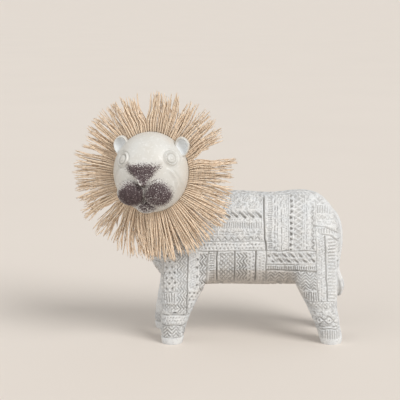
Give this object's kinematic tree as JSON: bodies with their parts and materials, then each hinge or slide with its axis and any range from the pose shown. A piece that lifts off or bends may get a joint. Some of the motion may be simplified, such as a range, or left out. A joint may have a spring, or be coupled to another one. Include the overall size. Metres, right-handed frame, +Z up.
{
  "type": "lion figurine",
  "caption": "Standing lion figurine in pale cast resin with carved patchwork flanks, head turned aside, inside a sunburst mane of jute twine",
  "frame": {"origin": "middle of the bounding box at the level of the soles", "axes": "+Z up, +X from the head end to the tail, +Y from the side that the face is turned to towards the far flank"},
  "size_m": [0.2678, 0.1344, 0.2515],
  "materials": {
    "pale_resin": "matt, chalky off-white",
    "jute": "matt twisted fibre"
  },
  "bodies": {
    "root": {"resin_lion": "pale_resin", "jute_mane": "jute"}
  },
  "joints": []
}
